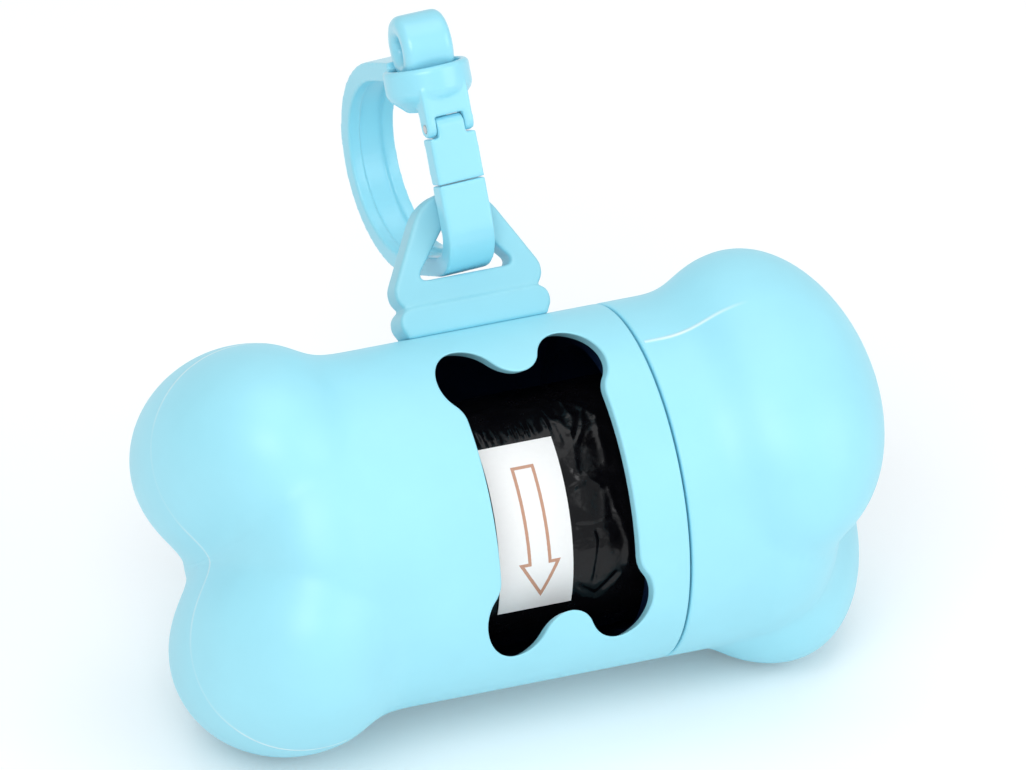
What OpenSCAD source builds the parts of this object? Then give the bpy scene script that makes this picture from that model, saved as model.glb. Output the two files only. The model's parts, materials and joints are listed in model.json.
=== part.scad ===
// Bone-shaped dispenser for rolled pet waste bags.
// The tube runs along X. The body frame has the strap loop at +Z and the window at -Y.
// At rest the whole dispenser is rolled back about X and stands on its end lobes.

/* [Body tube] */
// Outer radius of the tube
tube_r = 19; // [17:0.1:22]
// Wall of the tube and of its lobed end
wall = 1.6; // [1.2:0.1:2.2]
// Half of the overall length, from the middle to either bone end
half_len = 39; // [37:0.1:47]
// X of the joint line between the tube and the cap
seam_x = 13.3; // [12.8:0.1:16]
// Gap that shows between the tube and the cap
seam_gap = 0.25; // [0.15:0.05:0.5]
// Roll of the resting dispenser about its length, in degrees
stand_roll = 36.4; // [0:0.2:45]

/* [Bone ends] */
// Distance of each lobe's centre from the tube's axis
lobe_offset = 10.3; // [8:0.1:11]
// Radius of a lobe, seen from the window side
lobe_r = 10.2; // [9:0.1:11.5]
// Half depth of a lobe, from window side to back
lobe_depth = 16.5; // [15.5:0.1:18]
// Depth of the dip between the two lobes
dip = 4.2; // [3:0.1:6]
// Sharpness of the blend between lobes and tube
blend = 6; // [5:1:12]
// Turn of the cap's lobes from the body's lobes when closed, in degrees
cap_turn = 57; // [0:1:90]

/* [Window] */
// Width of the bone-shaped window at its waist
window_waist = 15.4; // [12:0.1:17]
// Width of the window across a pair of lobes
window_w = 18.4; // [16:0.1:20]
// Height of the window between lobe tips, seen square on
window_h = 32.4; // [28:0.1:33]
// Radius of a window lobe
window_lobe_r = 3.5; // [2.5:0.1:4]
// Depth of the window's end valleys
window_valley = 3.4; // [2:0.1:4.5]
// Fillet between the window's lobes and its sides
window_fillet = 3; // [2:0.1:3.5]

/* [Neck and cap thread] */
// Wall of the threaded neck
neck_wall = 0.95; // [0.9:0.01:1]
// Step from the tube's bore down to the foot of the neck's thread
neck_step = 1.15; // [1.1:0.01:1.2]
// Length of the neck beyond the joint line
neck_len = 7; // [5:0.1:8]
// Length of the neck insert that is pressed into the tube
neck_seat = 3.7; // [3:0.1:3.8]
// Height of the thread's rib
thread_h = 0.45; // [0.3:0.01:0.46]
// Advance of the thread in one turn
thread_pitch = 3; // [2.5:0.1:3.5]
// Clearance between the thread's crest and the cap sleeve
thread_clear = 0.2; // [0.15:0.01:0.25]
// Wall of the cap sleeve
sleeve_wall = 0.8; // [0.7:0.01:0.85]
// Radial running clearance between the cap sleeve and the cap
run_clear = 0.05; // [0.02:0.01:0.09]

/* [Bag roll] */
// Radial room between the full roll and the neck's bore
roll_room = 2.1; // [1.7:0.1:4]
// Gap left under the sagging roll
roll_rest = 0.4; // [0.3:0.1:1]
// Length of the roll of bags
roll_len = 55; // [50:0.5:56]
// Thickness of the outermost bag, folded and pressed flat
bag_t = 0.5; // [0.3:0.05:1]
// Outer radius of the cardboard core
core_r = 7; // [5:0.1:9]
// Wall of the cardboard core
core_wall = 0.8; // [0.5:0.1:1.5]
// Width of the paper label along the roll
label_w = 8.2; // [6:0.1:10]
// Arc of the label round the roll, in degrees
label_arc = 82; // [60:1:110]
// Thickness of the label
label_t = 0.12; // [0.08:0.01:0.2]

/* [Strap loop] */
// Width of the strap loop's foot
loop_w = 16.8; // [15:0.1:18]
// Thickness of the strap loop from front to back
loop_t = 3.6; // [3:0.1:4]
// Height of the loop's foot above the tube
foot_h = 3.1; // [2.8:0.1:3.4]
// Height of the loop's top above the tube
loop_h = 14.6; // [14:0.1:15.5]
// Outer radius of the loop's rounded top
loop_top_r = 5.3; // [4.8:0.1:5.6]
// Thickness of the loop's bars
bar_t = 3.1; // [2.8:0.1:3.3]

/* [Clip] */
// Width of the clip's band
band_w = 5.3; // [4.5:0.1:5.5]
// Thickness of the clip's band
band_t = 2; // [1.8:0.1:2.2]
// Centreline radius of the corner that runs through the loop
corner_r = 4; // [3.8:0.1:4.2]
// Centreline radius of the clip's round back
back_r = 10.5; // [9.5:0.1:11]
// Straight stretch between the corner and the round back
back_reach = 8; // [6.5:0.1:9]
// Gap between the clip and the bar it rests on
clip_gap = 0.3; // [0.2:0.05:0.5]
// Lean of the clip towards the window side, in degrees
clip_lean = 9; // [0:1:15]
// Turn of the clip's plane about its own height, in degrees
clip_yaw = 6; // [0:1:7]
// Tip of the clip towards the bone end, in degrees
clip_tip = 2; // [0:0.5:3]
// Height of the gate's free end above the corner's centre
gate_low = 4.8; // [3:0.1:5]
// Height of the gate's hinge pin above the corner's centre
gate_pin_z = 11; // [10:0.1:11.4]
// Radius of the gate's hinge pin
gate_pin_r = 0.45; // [0.4:0.05:0.5]

/* [Swivel] */
// Radius of the swivel's cup
cup_r = 4.6; // [4.2:0.1:4.8]
// Height of the swivel's cup
cup_h = 4.7; // [4.2:0.1:5]
// Distance of the swivel's axis in front of the corner's centre
cup_ahead = 1; // [0.6:0.1:1.2]
// Radius of the eye's hole
eye_hole_r = 1.5; // [1.3:0.05:2]
// Outer radius of the eye
eye_r = 3.5; // [3.2:0.1:3.8]
// Width of the eye's band
eye_w = 5.2; // [4:0.1:5.4]
// Turn of the resting eye about its stem, in degrees
eye_turn = -8; // [-30:1:30]
// Radius of the swivel's stem
stem_r = 1.3; // [1.1:0.05:1.4]

/* [Colours] */
// Colour of the moulded plastic
plastic = [0.62, 0.90, 0.95];
// Colour of the clip's plastic
clip_plastic = [0.52, 0.82, 0.88];
// Colour of the bags
film = [0.03, 0.03, 0.035];
// Colour of the label's paper
paper = [0.96, 0.96, 0.95];
// Colour of the roll's cardboard core
card = [0.62, 0.50, 0.37];
// Colour of the metal parts
steel = [0.75, 0.76, 0.78];

/* [Hidden] */
$fn = 96;

// Tube and lobes
bore_r = tube_r - wall;
lobe_tip = 0.3;
lobe_x = half_len - lobe_r - lobe_tip;
lobe_lift = 5.75;
mid_setback = 1;
mid_spare = 5;
star_x = lobe_x - lobe_lift;
dome = 9;
end_sides = 72;
outer_steps = 34;
inner_steps = 20;

// Neck, cap sleeve and cap
neck_r = bore_r - neck_step;
neck_bore_r = neck_r - neck_wall;
crest_r = neck_r + thread_h;
sleeve_bore_r = crest_r + thread_clear;
sleeve_r = sleeve_bore_r + sleeve_wall;
cap_bore_r = sleeve_r + run_clear;
cap_x = seam_x + seam_gap;
sleeve_spare = 1;
sleeve_len = neck_len + sleeve_spare;
shoulder_gap = 0.1;
thread_lead = 1.2;
thread_start = seam_x + thread_lead;
thread_spare = 0.2;
thread_turns = (neck_len - 2 * thread_lead - thread_spare) / thread_pitch;
thread_steps = 36;
rib_foot = 0.6;
rib_crest = 0.2;
rib_sink = 0.15;
rib_taper_steps = 5;
rib_low = 0.4;
root_len = 1;

// Where the tube's axis stands above the floor, and the front of the lobes
axis_z = max(support(-stand_roll), support(cap_turn - stand_roll));
front_y = -max(support(90 - stand_roll), support(90 + cap_turn - stand_roll));

// Roll
roll_r = neck_bore_r - roll_room;
roll_sag = roll_room - roll_rest;
label_left = -5.75;
label_mid = -9;

// Strap loop
foot_r = foot_h / 2;
foot_t = loop_t + 1;
corner_out_r = 2.1;
hole_corner_r = 0.6;
loop_sink = 0.5;
loop_inset = 0.2;
loop_bed = 0.1;
foot_skirt = 0.5;
foot_sink = 1;
hole_floor = tube_r + foot_h + bar_t - loop_sink;
loop_top_z = tube_r + loop_h - loop_top_r;

// Clip, in a frame whose origin is the corner's centre
half_t = band_t / 2;
hinge_z = hole_floor + clip_gap + corner_r + half_t;
back_z = back_r - corner_r;
groove_w = band_w / 2;
groove_d = 0.45;
tilt = clip_lean - stand_roll;
back_dir = [sin(clip_yaw) * cos(tilt) - cos(clip_yaw) * sin(clip_tip) * sin(tilt),
            cos(clip_yaw) * cos(tilt) + sin(clip_yaw) * sin(clip_tip) * sin(tilt),
            -cos(clip_tip) * sin(tilt)];
back_reach_y = abs(back_dir[0]) * band_w / 2 + back_dir[1] * back_reach + back_dir[2] * back_z
    + (back_r + half_t) * norm([back_dir[1], back_dir[2]]);
back_y = hinge_z * sin(stand_roll) + back_reach_y;
axis_y = -(front_y + back_y) / 2;
ear_gap = 0.1;
ear_w = 1;
fork_w = band_w - 2 * ear_w;
knuckle_w = fork_w - 2 * ear_gap;
spring_turns = 3;
spring_leg = 2.4;
coil_wire = 0.12;
coil_pitch = 1.7 * coil_wire;
coil_clear = 0.05;
coil_r = gate_pin_r + coil_wire + coil_clear;
coil_x = -coil_pitch * (spring_turns - 1) / 2;
pocket_clear = 0.05;
pocket_r = coil_r + coil_wire + pocket_clear;
pocket_w = coil_pitch * (spring_turns - 1) + 2 * (coil_wire + pocket_clear);
leaf_gap = 0.15;
pin_clear = 0.05;

// Swivel
cup_y = -cup_ahead;
cup_rise = 0.4;
cup_top = back_z + back_r + cup_rise;
cup_wall = 0.8;
cup_round = 0.3;
cup_flare_h = 1.5;
cup_skirt_h = 2.1;
plug_gap = 0.3;
cup_foot_r = 2.7;
recess_h = 1.8;
plug_h = 0.8;
head_r = 1.65;
head_h = 0.9;
head_taper = 0.5;
head_root = 1;
end_play = 0.1;
eye_rise = 2;
eye_z = cup_top + eye_rise;
eye_edge = 0.5;

// ---- Bone end: a star-shaped skin about a centre on the axis ----

// Distance from the centre to an ellipsoid's far side along direction d
function ray_exit(d, centre, radii) =
    let (m = [for (i = [0:2]) centre[i] / radii[i]])
    let (v = [for (i = [0:2]) d[i] / radii[i]])
    let (vm = v * m)
    let (vv = v * v)
    let (disc = vm * vm - vv * (m * m - 1))
    disc <= 0 ? 0 : max(0, (vm + sqrt(disc)) / vv);

// Distance to the tube, closed towards the end by a flat dome
function tube_exit(a, r, depth) =
    a < 90 ? 1 / sqrt(pow(cos(a) / depth, 2) + pow(sin(a) / r, 2)) : r / sin(a);

// Fade from the blended skin to the plain tube, from the lobes' edge on
function plain_share(a) =
    let (w = min(1, max(0, (a - 90) / atan2(dome, tube_r))))
    w * w * (3 - 2 * w);

// Skin distance at angle a from the outward axis and t round it, set in by "inset"
function skin(a, t, inset) =
    let (d = [cos(a), sin(a) * cos(t), sin(a) * sin(t)])
    let (lobe = [lobe_r - inset, lobe_depth - inset, lobe_r - inset])
    let (mid = [lobe_r - dip + mid_setback - inset, lobe_depth - inset, lobe_offset + mid_spare - inset])
    let (up = ray_exit(d, [lobe_lift, 0, lobe_offset], lobe))
    let (down = ray_exit(d, [lobe_lift, 0, -lobe_offset], lobe))
    let (centre = ray_exit(d, [lobe_lift - mid_setback, 0, 0], mid))
    let (tube = tube_exit(a, tube_r - inset, dome - inset))
    let (sum = pow(up, blend) + pow(down, blend) + pow(centre, blend) + pow(tube, blend))
    let (w = plain_share(a))
    pow(sum, 1 / blend) * (1 - w) + tube * w;

// Skin points in rings, from the tip to the mouth at mouth_x, with a round bore near the mouth
function skin_points(inset, mouth_x, steps, bore = 0) =
    let (last = 90 + atan2(star_x - mouth_x, tube_r - inset))
    let (bore_from = 90 + atan2(star_x - cap_x - sleeve_len, tube_r) - last / steps)
    [for (i = [1:steps]) for (j = [0:end_sides - 1])
        let (a = last * i / steps, t = j * 360 / end_sides)
        let (s = skin(a, t, inset))
        let (q = max(s * sin(a), a > bore_from ? bore : 0))
        [star_x + s * cos(a), q * cos(t), q * sin(t)]];

// Faces of one skin, whose tip is point "first" and whose rings follow it
function skin_faces(first, steps) = concat(
    [for (j = [0:end_sides - 1]) [first, first + 1 + j, first + 1 + (j + 1) % end_sides]],
    [for (i = [0:steps - 2]) for (j = [0:end_sides - 1])
        let (k = (j + 1) % end_sides, a = first + 1 + i * end_sides, b = a + end_sides)
        each [[a + j, b + j, b + k], [a + j, b + k, a + k]]]);

// A face list turned inside out
function flipped(faces) = [for (f = faces) [f[0], f[2], f[1]]];

// Hollow bone end with its tip towards +X and an open mouth at mouth_x
module hollow_end(mouth_x, bore = 0) {
    outer_tip = [star_x + skin(0, 0, 0), 0, 0];
    inner_tip = [star_x + skin(0, 0, wall), 0, 0];
    points = concat([outer_tip], skin_points(0, mouth_x, outer_steps),
                    [inner_tip], skin_points(wall, mouth_x, inner_steps, bore));
    inner_first = 1 + outer_steps * end_sides;
    outer_ring = inner_first - end_sides;
    inner_ring = len(points) - end_sides;
    rim = [for (j = [0:end_sides - 1])
        let (k = (j + 1) % end_sides)
        each [[outer_ring + j, inner_ring + j, inner_ring + k],
              [outer_ring + j, inner_ring + k, outer_ring + k]]];
    polyhedron(points = points, faces = concat(skin_faces(0, outer_steps),
        flipped(skin_faces(inner_first, inner_steps)), rim));
}

// Reach of a bone end in the direction that is "turn" degrees from its lobes
function support(turn) =
    max([for (p = skin_points(0, seam_x, outer_steps)) p[1] * sin(turn) + p[2] * cos(turn)]);

// ---- Placing helpers ----

// Rolls the body frame back, lifts it onto the floor and centres it front to back
module standing() {
    translate([0, axis_y, axis_z]) rotate([-stand_roll, 0, 0]) children();
}

// Cylinder along X between two stations
module bar_x(x0, x1, r) {
    translate([x0, 0, 0]) rotate([0, 90, 0]) cylinder(h = x1 - x0, r = r);
}

// Ring along X between two stations
module ring_x(x0, x1, r_out, r_in) {
    difference() {
        bar_x(x0, x1, r_out);
        bar_x(x0 - 1, x1 + 1, r_in);
    }
}

// Slab of a flat outline in the XZ plane, centred on Y
module slab_y(thickness) {
    rotate([90, 0, 0]) linear_extrude(thickness, center = true) children();
}

// Slab of a flat outline in the YZ plane, centred on X
module slab_x(thickness) {
    rotate([90, 0, 90]) linear_extrude(thickness, center = true) children();
}

// Places children in the clip's frame, whose origin is the hinge axis in the loop
module in_clip() {
    standing() translate([0, 0, hinge_z]) rotate([clip_lean, 0, 0])
        rotate([0, -clip_tip, 0]) rotate([0, 0, clip_yaw]) children();
}

// Places children on the axis of the sagging roll
module on_roll() {
    translate([0, 0, -roll_sag]) standing() children();
}

// ---- Body ----

// Bone-shaped outline of the window, with filleted valleys and waist
module window_outline() {
    lobe_z = window_h / 2 - window_lobe_r;
    offset(r = -window_fillet, $fn = 32) offset(r = window_fillet, $fn = 32) union() {
        square([window_waist, window_h - 2 * window_valley], center = true);
        for (sx = [-1, 1]) for (sz = [-1, 1])
            translate([sx * (window_w / 2 - window_lobe_r), sz * lobe_z])
                circle(window_lobe_r, $fn = 32);
    }
}

module body_shell() {
    color(plastic) standing() difference() {
        mirror([1, 0, 0]) hollow_end(-seam_x);
        translate([0, -tube_r, 0]) slab_y(2 * tube_r) window_outline();
    }
}

// Hull of three discs: a wide top and two foot corners
module loop_triangle(top_r, corner_r, half_w, floor_z) {
    hull() {
        translate([0, loop_top_z]) circle(top_r, $fn = 64);
        for (sx = [-1, 1])
            translate([sx * (half_w - corner_r), floor_z + corner_r]) circle(corner_r, $fn = 32);
    }
}

module strap_loop() {
    color(plastic) standing() difference() {
        union() {
            slab_y(loop_t) difference() {
                loop_triangle(loop_top_r, corner_out_r, loop_w / 2 - loop_inset, hole_floor - bar_t + loop_bed);
                loop_triangle(loop_top_r - bar_t, hole_corner_r, loop_w / 2 - bar_t - loop_inset, hole_floor);
            }
            slab_y(foot_t) hull() for (sx = [-1, 1])
                translate([sx * (loop_w / 2 - foot_r), tube_r + foot_h - foot_r]) circle(foot_r, $fn = 32);
            slab_y(foot_t) translate([-loop_w / 2 + foot_skirt, tube_r - foot_sink])
                square([loop_w - 2 * foot_skirt, foot_r + foot_sink]);
        }
        bar_x(-loop_w, loop_w, tube_r);
    }
}

// ---- Neck and cap ----

// Helical rib on the neck, tapering to nothing at both ends
module thread_rib() {
    count = ceil(thread_turns * thread_steps);
    section = [[-rib_foot, 0], [-rib_crest, 1], [rib_crest, 1], [rib_foot, 0]];
    points = [for (i = [0:count])
        let (t = i * 360 / thread_steps, x = thread_start + i * thread_pitch / thread_steps)
        let (rise = min(1, i / rib_taper_steps, (count - i) / rib_taper_steps))
        for (s = section)
            let (r = neck_r - rib_sink + s[1] * (thread_h + rib_sink) * max(rib_low, rise))
            [x + s[0], r * cos(t), r * sin(t)]];
    sides = [for (i = [0:count - 1]) for (j = [0:3])
        let (k = (j + 1) % 4, a = 4 * i, b = 4 * i + 4)
        each [[a + j, a + k, b + j], [a + k, b + k, b + j]]];
    ends = [[3, 2, 1], [3, 1, 0], [4 * count, 4 * count + 1, 4 * count + 2],
            [4 * count, 4 * count + 2, 4 * count + 3]];
    polyhedron(points = points, faces = concat(sides, ends));
}

module neck_insert() {
    color(plastic) standing() {
        difference() {
            union() {
                bar_x(seam_x - neck_seat, seam_x, bore_r);
                bar_x(seam_x - root_len, seam_x + neck_len, neck_r);
                thread_rib();
            }
            bar_x(seam_x - neck_seat - 1, seam_x + neck_len + 1, neck_bore_r);
        }
    }
}

module cap_sleeve() {
    color(plastic) standing()
        ring_x(cap_x + shoulder_gap, cap_x + sleeve_len, sleeve_r, sleeve_bore_r);
}

module end_cap() {
    color(plastic) standing() rotate([cap_turn, 0, 0]) hollow_end(cap_x, cap_bore_r);
}

// ---- Roll of bags ----

module roll_core() {
    color(card) on_roll()
        ring_x(-roll_len / 2, roll_len / 2, core_r, core_r - core_wall);
}

module bag_roll() {
    color(film) on_roll()
        ring_x(-roll_len / 2, roll_len / 2, roll_r - bag_t, core_r);
}

module outer_bag() {
    color(film) on_roll()
        ring_x(-roll_len / 2, roll_len / 2, roll_r, roll_r - bag_t);
}

module roll_label() {
    color(paper) on_roll() translate([label_left, 0, 0]) rotate([0, 90, 0])
        rotate([0, 0, -90 - label_mid - label_arc / 2])
        rotate_extrude(angle = label_arc) translate([roll_r, 0]) square([label_t, label_w]);
}

// ---- Clip ----

// Points of an arc about c, from angle a0 to a1
function arc(c, r, a0, a1, steps) =
    [for (i = [0:steps]) let (a = a0 + (a1 - a0) * i / steps) [c[0] + r * cos(a), c[1] + r * sin(a)]];

// Outline of the clip's band between two offsets from its centreline
module band_outline(outside, inside, low_z) {
    back = [back_reach, back_z];
    top_y = cup_y + cup_r - cup_wall;
    polygon(concat(
        [[-corner_r - outside, low_z]],
        arc([0, 0], corner_r + outside, 180, 270, 14),
        arc(back, back_r + outside, -90, 90, 36),
        [[top_y, back_z + back_r + outside], [top_y, back_z + back_r - inside]],
        arc(back, back_r - inside, 90, -90, 36),
        arc([0, 0], corner_r - inside, 270, 180, 14),
        [[-corner_r + inside, low_z]]));
}

// Cylinder along the gate's pin, from station x0
module pin_bar(x0, w, r) {
    translate([x0, -corner_r, gate_pin_z]) rotate([0, 90, 0]) cylinder(h = w, r = r, $fn = 48);
}

// Front arm between the gate's pin and the cup
module front_arm(w) {
    pin_bar(-w / 2, w, half_t);
    translate([-w / 2, -corner_r - half_t, gate_pin_z])
        cube([w, band_t, cup_top - recess_h - cup_rise - gate_pin_z]);
}

// Turned cup of the swivel, with its recess and stem bore
module swivel_cup() {
    low = cup_top - cup_h;
    translate([0, cup_y, 0]) rotate_extrude() polygon([
        [0, low], [cup_foot_r, low], [cup_r - cup_round, low + cup_flare_h], [cup_r, low + cup_skirt_h],
        [cup_r, cup_top - cup_round], [cup_r - cup_round, cup_top], [0, cup_top]]);
}

module clip_hook() {
    color(clip_plastic) in_clip() difference() {
        union() {
            difference() {
                slab_x(band_w) band_outline(half_t, half_t, gate_low);
                slab_x(groove_w) band_outline(groove_d - half_t, half_t, gate_low - 2);
            }
            front_arm(band_w);
            swivel_cup();
        }
        translate([0, cup_y, cup_top - recess_h])
            cylinder(h = recess_h + 1, r = cup_r - cup_wall);
        translate([0, cup_y, 0]) cylinder(h = cup_top, r = stem_r + pin_clear);
        translate([-fork_w / 2, -corner_r - band_t, gate_pin_z - band_t])
            cube([fork_w, 2 * band_t, band_t + half_t + leaf_gap]);
        pin_bar(-band_w, 2 * band_w, gate_pin_r);
    }
}

module clip_gate() {
    leaf_top = gate_pin_z - half_t - leaf_gap;
    leaf_low = gate_low + leaf_gap;
    color(clip_plastic) in_clip() difference() {
        union() {
            translate([-band_w / 2, -corner_r - half_t, leaf_low])
                cube([band_w, band_t, leaf_top - leaf_low]);
            translate([-knuckle_w / 2, -corner_r - half_t, leaf_top - half_t])
                cube([knuckle_w, band_t, gate_pin_z - leaf_top + half_t]);
            pin_bar(-knuckle_w / 2, knuckle_w, half_t);
        }
        pin_bar(-band_w, 2 * band_w, gate_pin_r + pin_clear);
        pin_bar(-pocket_w / 2, pocket_w, pocket_r);
        translate([-pocket_w / 2, -corner_r, gate_pin_z - pocket_r])
            cube([pocket_w, band_t, 2 * pocket_r]);
        translate([coil_x - 2 * coil_wire, -corner_r + coil_r - 2 * coil_wire, leaf_top - spring_leg])
            cube([4 * coil_wire, band_t, spring_leg + half_t]);
    }
}

module gate_pin() {
    color(steel) in_clip() pin_bar(-band_w / 2, band_w, gate_pin_r);
}

// Small torsion spring round the pin, with the leg that presses on the gate
module gate_spring() {
    color(steel) in_clip() {
        for (k = [0:spring_turns - 1])
            translate([coil_x + coil_pitch * k, -corner_r, gate_pin_z]) rotate([0, 90, 0])
                rotate_extrude($fn = 32) translate([coil_r, 0]) circle(coil_wire, $fn = 16);
        translate([coil_x, -corner_r + coil_r, gate_pin_z - spring_leg - half_t])
            cylinder(h = spring_leg + half_t, r = 0.8 * coil_wire, $fn = 16);
    }
}

// ---- Swivel ----

// Half section of the eye's band about its hole
module eye_section() {
    polygon([[eye_hole_r, eye_w / 2 - eye_edge], [eye_hole_r + eye_edge, eye_w / 2],
        [eye_r - eye_edge, eye_w / 2], [eye_r, eye_w / 2 - eye_edge],
        [eye_r, eye_edge - eye_w / 2], [eye_r - eye_edge, -eye_w / 2],
        [eye_hole_r + eye_edge, -eye_w / 2], [eye_hole_r, eye_edge - eye_w / 2]]);
}

module swivel_eye() {
    floor_z = cup_top - recess_h;
    head_top = cup_top - cup_h - end_play;
    color(clip_plastic) in_clip() translate([0, cup_y, 0]) rotate([0, 0, eye_turn]) difference() {
        union() {
            translate([0, 0, eye_z]) rotate([0, 90, 0]) rotate_extrude() eye_section();
            translate([0, 0, floor_z + end_play]) cylinder(h = plug_h, r = cup_r - cup_wall - plug_gap);
            translate([0, 0, head_top - head_h / 2]) cylinder(h = floor_z + head_root - head_top, r = stem_r);
            translate([0, 0, head_top - head_h]) cylinder(h = head_h, r1 = head_r - head_taper, r2 = head_r);
        }
        translate([-eye_w, 0, eye_z]) rotate([0, 90, 0]) cylinder(h = 2 * eye_w, r = eye_hole_r);
    }
}

body_shell();
strap_loop();
neck_insert();
cap_sleeve();
end_cap();
roll_core();
bag_roll();
outer_bag();
roll_label();
clip_hook();
clip_gate();
gate_pin();
gate_spring();
swivel_eye();
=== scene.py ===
"""Looks of a bone-shaped dispenser for rolled pet waste bags, made over its solid model."""
import json
import math

import bpy
from bpy.props import FloatProperty, FloatVectorProperty, IntProperty, PointerProperty
from bpy.types import Operator, Panel, PropertyGroup
from mathutils import Matrix, Vector, noise


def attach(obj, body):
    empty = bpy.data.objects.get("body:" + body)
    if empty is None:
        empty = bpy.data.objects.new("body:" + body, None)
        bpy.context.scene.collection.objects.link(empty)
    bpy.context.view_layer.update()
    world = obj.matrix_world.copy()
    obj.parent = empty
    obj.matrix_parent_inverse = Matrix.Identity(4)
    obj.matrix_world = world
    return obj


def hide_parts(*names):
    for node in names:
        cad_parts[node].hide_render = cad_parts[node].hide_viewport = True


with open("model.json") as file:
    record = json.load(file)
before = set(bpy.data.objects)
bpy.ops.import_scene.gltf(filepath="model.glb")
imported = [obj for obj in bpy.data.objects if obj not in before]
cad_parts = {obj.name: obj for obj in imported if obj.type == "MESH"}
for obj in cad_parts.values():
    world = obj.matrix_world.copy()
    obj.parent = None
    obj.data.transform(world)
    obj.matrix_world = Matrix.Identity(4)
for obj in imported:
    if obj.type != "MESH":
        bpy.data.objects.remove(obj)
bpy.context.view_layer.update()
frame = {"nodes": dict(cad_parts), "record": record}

bl_info = {
    "name": "Bag dispenser looks",
    "version": (1, 0, 0),
    "blender": (4, 5, 0),
    "location": "View3D > Sidebar > Dispenser",
    "description": "Makes the visible pieces, finishes and stage of a bone-shaped bag dispenser",
    "category": "Object",
}

JOINTS = {j["name"]: j for j in frame["record"]["behaviour"]["joints"]}
TUBE_AXIS = Vector(JOINTS["cap_turn"]["pos_m"])
ROLL_AXIS = Vector(JOINTS["roll_turn"]["pos_m"])
MM = 0.001


# ---- Sizes and colours that a user would change ----

def length_property(name, description, default, precision=4):
    """A length that the sidebar shows in the scene's unit."""
    return FloatProperty(name=name, description=description, default=default, unit="LENGTH",
                         precision=precision)


def angle_property(name, description, degrees):
    """An angle, given in degrees."""
    return FloatProperty(name=name, description=description, default=math.radians(degrees), subtype="ANGLE")


def colour_property(name, description, default):
    """A colour without alpha."""
    return FloatVectorProperty(name=name, description=description, default=default, subtype="COLOR", size=3)


class DispenserSizes(PropertyGroup):
    """Sizes of the visible pieces. They follow the solid model."""
    tube_r: length_property("Tube radius", "Outer radius of the tube", 19 * MM)
    wall: length_property("Wall", "Wall of the tube and its lobed ends", 1.6 * MM)
    half_len: length_property("Half length", "From the middle to either bone end", 39 * MM)
    seam_x: length_property("Joint line", "X of the joint between tube and cap", 13.3 * MM)
    seam_gap: length_property("Joint gap", "Gap between tube and cap", 0.25 * MM, 5)
    cap_bore_r: length_property("Cap bore", "Radius of the cap's bore", 17.75 * MM)
    neck_bore_r: length_property("Neck bore", "Radius of the neck's bore", 15.3 * MM)
    mouth_round: length_property("Mouth rounding", "Rounding of the edges at the joint line", 0.3 * MM, 5)
    stand_roll: angle_property("Roll at rest", "Roll of the resting dispenser about its length", 36.4)
    cap_turn: angle_property("Cap turn", "Turn of the cap's lobes from the body's lobes", 57)
    window_w: length_property("Window width", "Width of the window across a pair of lobes", 18.4 * MM)
    window_waist: length_property("Window waist", "Width of the window at its waist", 15.4 * MM)
    window_h: length_property("Window height", "Height of the window between lobe tips", 32.4 * MM)
    window_lobe_r: length_property("Window lobe", "Radius of a window lobe", 3.5 * MM)
    window_valley: length_property("Window valley", "Depth of the window's end valleys", 3.4 * MM)
    window_fillet: length_property("Window fillet", "Radius between a lobe and a side of the window", 3 * MM)
    rim_round: length_property("Rim rounding", "Rounding of the window's outer edge", 0.3 * MM, 5)
    roll_r: length_property("Roll radius", "Outer radius of the roll of bags", 13.2 * MM)
    roll_len: length_property("Roll length", "Length of the roll of bags", 55 * MM)
    crease: length_property("Film crease", "Height of the creases in the outermost bag", 0.3 * MM, 5)
    label_left: length_property("Label edge", "X of the label's left edge", -5.75 * MM)
    label_w: length_property("Label width", "Width of the paper label", 8.2 * MM)
    label_arc: angle_property("Label arc", "Arc of the label round the roll", 82)
    label_mid: angle_property("Label middle", "Middle of the label's arc, from the window side", -9)
    label_skew: FloatProperty(name="Label skew", description="Slant of the label round the roll",
                              default=0.035)
    sides: IntProperty(name="Sides", description="Faces round a bone end", default=180, min=24)


class DispenserColours(PropertyGroup):
    """Colours of the finishes."""
    shell: colour_property("Shell", "Colour of the moulded body, cap and loop", (0.36, 0.80, 0.93))
    clip: colour_property("Clip", "Colour of the clip's plastic", (0.32, 0.76, 0.90))
    film: colour_property("Film", "Colour of the bags", (0.003, 0.003, 0.004))
    paper: colour_property("Paper", "Colour of the label", (0.95, 0.95, 0.94))
    ink: colour_property("Ink", "Colour of the arrow", (0.52, 0.21, 0.09))
    card: colour_property("Card", "Colour of the roll's core", (0.34, 0.22, 0.12))
    steel: colour_property("Steel", "Colour of the pin and spring", (0.56, 0.57, 0.58))
    floor: colour_property("Floor", "Colour of the floor", (0.95, 0.95, 0.95))


def sizes():
    """The sizes kept on the scene."""
    return bpy.context.scene.dispenser_sizes


def colours():
    """The colours kept on the scene."""
    return bpy.context.scene.dispenser_colours


def standing():
    """From the body's own frame to its place at rest."""
    return Matrix.Translation((0, TUBE_AXIS.y, TUBE_AXIS.z)) @ Matrix.Rotation(-sizes().stand_roll, 4, "X")


# ---- Modelling helpers ----

def select_only(*objects):
    """Deselects everything, then selects these objects and makes the first active."""
    if bpy.context.object and bpy.context.object.mode != "OBJECT":
        bpy.ops.object.mode_set(mode="OBJECT")
    bpy.ops.object.select_all(action="DESELECT")
    for obj in objects:
        obj.select_set(True)
    if objects:
        bpy.context.view_layer.objects.active = objects[0]


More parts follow.
